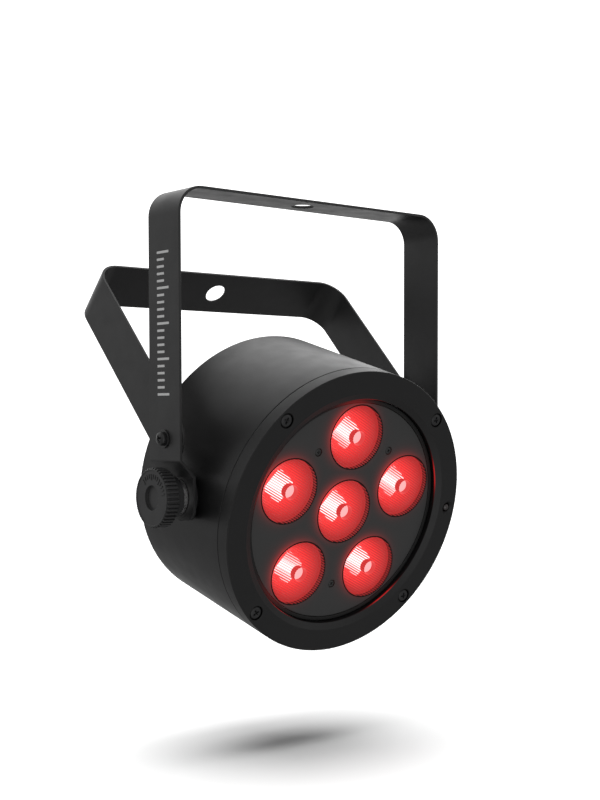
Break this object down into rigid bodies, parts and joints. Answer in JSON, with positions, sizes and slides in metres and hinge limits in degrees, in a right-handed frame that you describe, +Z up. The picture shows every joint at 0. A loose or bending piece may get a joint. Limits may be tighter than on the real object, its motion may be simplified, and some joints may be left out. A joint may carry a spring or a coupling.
{
  "type": "par can light",
  "caption": "Compact stage par light: drum-shaped LED head with lenses, tilting in a U-shaped hanging yoke with a second folding yoke and side clamp knobs.",
  "frame": {"origin": "centre of the hanging hole in the top bar of the hanging yoke, half way through the bar", "axes": "+Z up through the hanging hole, -Y the way the lamp looks, X along the tilt axis"},
  "size_m": [0.2064, 0.1635, 0.2567],
  "materials": {
    "yoke_paint": "satin black powder coat",
    "head_paint": "semi-gloss black",
    "front_panel_black": "fine matt black",
    "seal_rubber": "matt black",
    "lens_red": "clear lens lit red",
    "black_plastic": "fine matt black",
    "knob_plastic": "moulded black",
    "bright_steel": "bright zinc",
    "stud_steel": "zinc plated",
    "black_screws": "black oxide",
    "sink_aluminium": "plain",
    "brass": "plain",
    "board_white": "white solder mask",
    "board_green": "green solder mask",
    "emitter_clear": "clear dome lit red",
    "rear_panel_paint": "fine black texture",
    "socket_blue": "moulded blue",
    "socket_grey": "moulded light grey",
    "socket_black": "moulded black",
    "display_tint": "dark red tint",
    "button_grey": "moulded grey",
    "component_dark": "plain",
    "fuse_glass": "clear tube",
    "lead_red": "pvc"
  },
  "bodies": {
    "hanging_yoke": {"front_yoke": "yoke_paint", "pivot_screws": "black_screws", "pivot_washers": "black_screws", "pivot_nuts": "bright_steel"},
    "rear_yoke": {"rear_yoke": "yoke_paint"},
    "lamp_head": {"housing": "head_paint", "bezel": "head_paint", "bezel_gasket": "seal_rubber", "bezel_screws": "black_screws", "lens_panel": "front_panel_black", "panel_seal": "seal_rubber", "panel_carrier": "sink_aluminium", "panel_screws": "black_screws", "brass_posts": "brass", "led_board": "board_white", "heat_sink": "sink_aluminium", "heat_sink_screws": "stud_steel", "infrared_window": "component_dark", "infrared_board": "board_green", "rear_panel": "rear_panel_paint", "rear_panel_screws": "black_screws", "power_inlet": "socket_blue", "socket_contacts": "brass", "power_outlet": "socket_grey", "data_input": "socket_black", "data_output": "socket_black", "flange_screws": "black_screws", "fuse_holder": "black_plastic", "fuse": "fuse_glass", "eyelet": "yoke_paint", "display_window": "display_tint", "display_module": "component_dark", "control_board": "board_green", "button_switches": "component_dark", "power_board": "board_green", "power_transformer": "component_dark", "power_capacitors": "component_dark", "led_lead": "lead_red", "lens_cups": "black_plastic", "emitters": "emitter_clear", "tilt_inserts": "brass", "friction_pads": "seal_rubber", "lens_0": "lens_red", "lens_1": "lens_red", "lens_2": "lens_red", "lens_3": "lens_red", "lens_4": "lens_red", "lens_5": "lens_red"},
    "data_latch": {"data_latch": "bright_steel"},
    "fuse_cap": {"fuse_cap": "black_plastic"},
    "knob_washer_left": {"knob_washer_left": "bright_steel"},
    "knob_left": {"knob_left": "knob_plastic", "knob_stud_left": "stud_steel"},
    "knob_washer_right": {"knob_washer_right": "bright_steel"},
    "knob_right": {"knob_right": "knob_plastic", "knob_stud_right": "stud_steel"},
    "button_menu": {"button_menu": "button_grey"},
    "button_up": {"button_up": "button_grey"},
    "button_down": {"button_down": "button_grey"},
    "button_enter": {"button_enter": "button_grey"}
  },
  "joints": [
    {"name": "lamp_tilt", "type": "hinge", "parent": "hanging_yoke", "child": "lamp_head", "pos_m": [0, 0, -0.16545], "axis": [1, 0, 0], "range_deg": [-105, 165]},
    {"name": "rear_yoke_swing", "type": "hinge", "parent": "hanging_yoke", "child": "rear_yoke", "pos_m": [0, 0, -0.13385], "axis": [1, 0, 0], "range_deg": [-25, 115]},
    {"name": "knob_left_travel", "type": "slide", "parent": "lamp_head", "child": "knob_washer_left", "axis": [-1, 0, 0], "range_m": [0, 0.0025]},
    {"name": "knob_left_turn", "type": "hinge", "parent": "knob_washer_left", "child": "knob_left", "pos_m": [0, 0, -0.16545], "axis": [-1, 0, 0], "range_deg": [0, 720]},
    {"name": "knob_right_travel", "type": "slide", "parent": "lamp_head", "child": "knob_washer_right", "axis": [1, 0, 0], "range_m": [0, 0.0025]},
    {"name": "knob_right_turn", "type": "hinge", "parent": "knob_washer_right", "child": "knob_right", "pos_m": [0, 0, -0.16545], "axis": [1, 0, 0], "range_deg": [0, 720]},
    {"name": "menu_press", "type": "slide", "parent": "lamp_head", "child": "button_menu", "axis": [0, -0.9659, -0.2588], "range_m": [0, 0.001], "stiffness_N_per_m": 500, "springref_m": -0.001},
    {"name": "up_press", "type": "slide", "parent": "lamp_head", "child": "button_up", "axis": [0, -0.9659, -0.2588], "range_m": [0, 0.001], "stiffness_N_per_m": 500, "springref_m": -0.001},
    {"name": "down_press", "type": "slide", "parent": "lamp_head", "child": "button_down", "axis": [0, -0.9659, -0.2588], "range_m": [0, 0.001], "stiffness_N_per_m": 500, "springref_m": -0.001},
    {"name": "enter_press", "type": "slide", "parent": "lamp_head", "child": "button_enter", "axis": [0, -0.9659, -0.2588], "range_m": [0, 0.001], "stiffness_N_per_m": 500, "springref_m": -0.001},
    {"name": "latch_press", "type": "slide", "parent": "lamp_head", "child": "data_latch", "axis": [0, -0.9659, -0.2588], "range_m": [0, 0.0015], "stiffness_N_per_m": 500, "springref_m": -0.001},
    {"name": "fuse_cap_turn", "type": "hinge", "parent": "lamp_head", "child": "fuse_cap", "pos_m": [-0.052, 0.0562, -0.18973], "axis": [0, 0.9659, 0.2588], "range_deg": [0, 90]}
  ],
  "couplings": [
    {"joint": "knob_left_turn", "follows": "knob_left_travel", "rad_per_m": 5026.5},
    {"joint": "knob_right_turn", "follows": "knob_right_travel", "rad_per_m": 5026.5}
  ]
}
